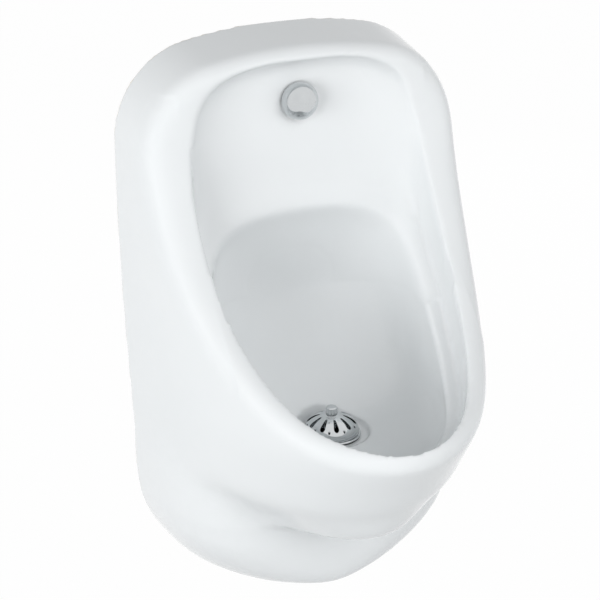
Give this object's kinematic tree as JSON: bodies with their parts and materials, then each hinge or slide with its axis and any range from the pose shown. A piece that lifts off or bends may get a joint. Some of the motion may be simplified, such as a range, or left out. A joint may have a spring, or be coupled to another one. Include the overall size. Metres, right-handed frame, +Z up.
{
  "type": "wall hung urinal",
  "caption": "Glazed china wall urinal with open bowl, flush spreader, domed strainer, wall hooks and a removable trap in its hollow foot.",
  "frame": {"origin": "on the wall plane, midway between the four hook holes", "axes": "+Z up, -Y out of the wall towards the user, +X to the right seen from the front"},
  "size_m": [0.3498, 0.3133, 0.573],
  "materials": {
    "vitreous_china": "gloss",
    "zinc_plated_steel": "satin",
    "chromed_metal": "polished",
    "raw_brass": "satin",
    "seal_rubber": "matte",
    "white_polypropylene": "semi-gloss"
  },
  "bodies": {
    "urinal": {"ceramic_body": "vitreous_china", "hanger_bracket_left": "zinc_plated_steel", "hanger_bracket_right": "zinc_plated_steel", "spreader_cap": "chromed_metal", "waste_flange": "chromed_metal", "inlet_pipe": "chromed_metal", "spreader_stem": "raw_brass", "hanger_pad_left": "seal_rubber", "hanger_pad_right": "seal_rubber", "spreader_front_washer": "seal_rubber", "spreader_rear_washer": "seal_rubber", "inlet_washer": "seal_rubber", "waste_upper_seal": "seal_rubber", "waste_lower_seal": "seal_rubber", "trap_inlet_seal": "seal_rubber", "trap_outlet_seal": "seal_rubber", "outlet_pipe": "white_polypropylene", "waste_slip_washer": "white_polypropylene"},
    "strainer": {"dome_strainer": "chromed_metal"},
    "strainer_knob": {"strainer_screw": "chromed_metal"},
    "trap": {"trap_bend": "white_polypropylene", "cleaning_plug_seal": "seal_rubber"},
    "trap_nut": {"trap_inlet_nut": "white_polypropylene"},
    "plug": {"cleaning_plug": "white_polypropylene"},
    "outlet_nut": {"trap_outlet_nut": "white_polypropylene"},
    "waste_nut": {"waste_lock_nut": "raw_brass"},
    "spreader_nut": {"spreader_lock_nut": "raw_brass"},
    "union_nut": {"inlet_union_nut": "chromed_metal"}
  },
  "joints": [
    {"name": "strainer_lift", "type": "slide", "parent": "urinal", "child": "strainer", "axis": [0, 0, 1], "range_m": [0, 0.06]},
    {"name": "strainer_screw_turn", "type": "hinge", "parent": "strainer", "child": "strainer_knob", "pos_m": [0, -0.132, -0.32], "axis": [0, 0, 1], "continuous": true},
    {"name": "trap_drop", "type": "slide", "parent": "urinal", "child": "trap", "axis": [0, 0, -1], "range_m": [0, 0.012]},
    {"name": "trap_inlet_nut_turn", "type": "hinge", "parent": "trap", "child": "trap_nut", "pos_m": [0, -0.132, -0.32], "axis": [0, 0, 1], "continuous": true},
    {"name": "cleaning_plug_turn", "type": "hinge", "parent": "trap", "child": "plug", "pos_m": [0, -0.1, -0.49], "axis": [0, 0, 1], "continuous": true},
    {"name": "trap_outlet_nut_turn", "type": "hinge", "parent": "urinal", "child": "outlet_nut", "pos_m": [0, -0.068, -0.4], "axis": [0, 0, 1], "continuous": true},
    {"name": "waste_lock_nut_turn", "type": "hinge", "parent": "urinal", "child": "waste_nut", "pos_m": [0, -0.132, -0.32], "axis": [0, 0, 1], "continuous": true},
    {"name": "spreader_lock_nut_turn", "type": "hinge", "parent": "urinal", "child": "spreader_nut", "pos_m": [0, -0.03, 0.007], "axis": [0, 1, 0], "continuous": true},
    {"name": "inlet_union_nut_turn", "type": "hinge", "parent": "urinal", "child": "union_nut", "pos_m": [0, -0.03, 0.007], "axis": [0, 1, 0], "continuous": true}
  ]
}
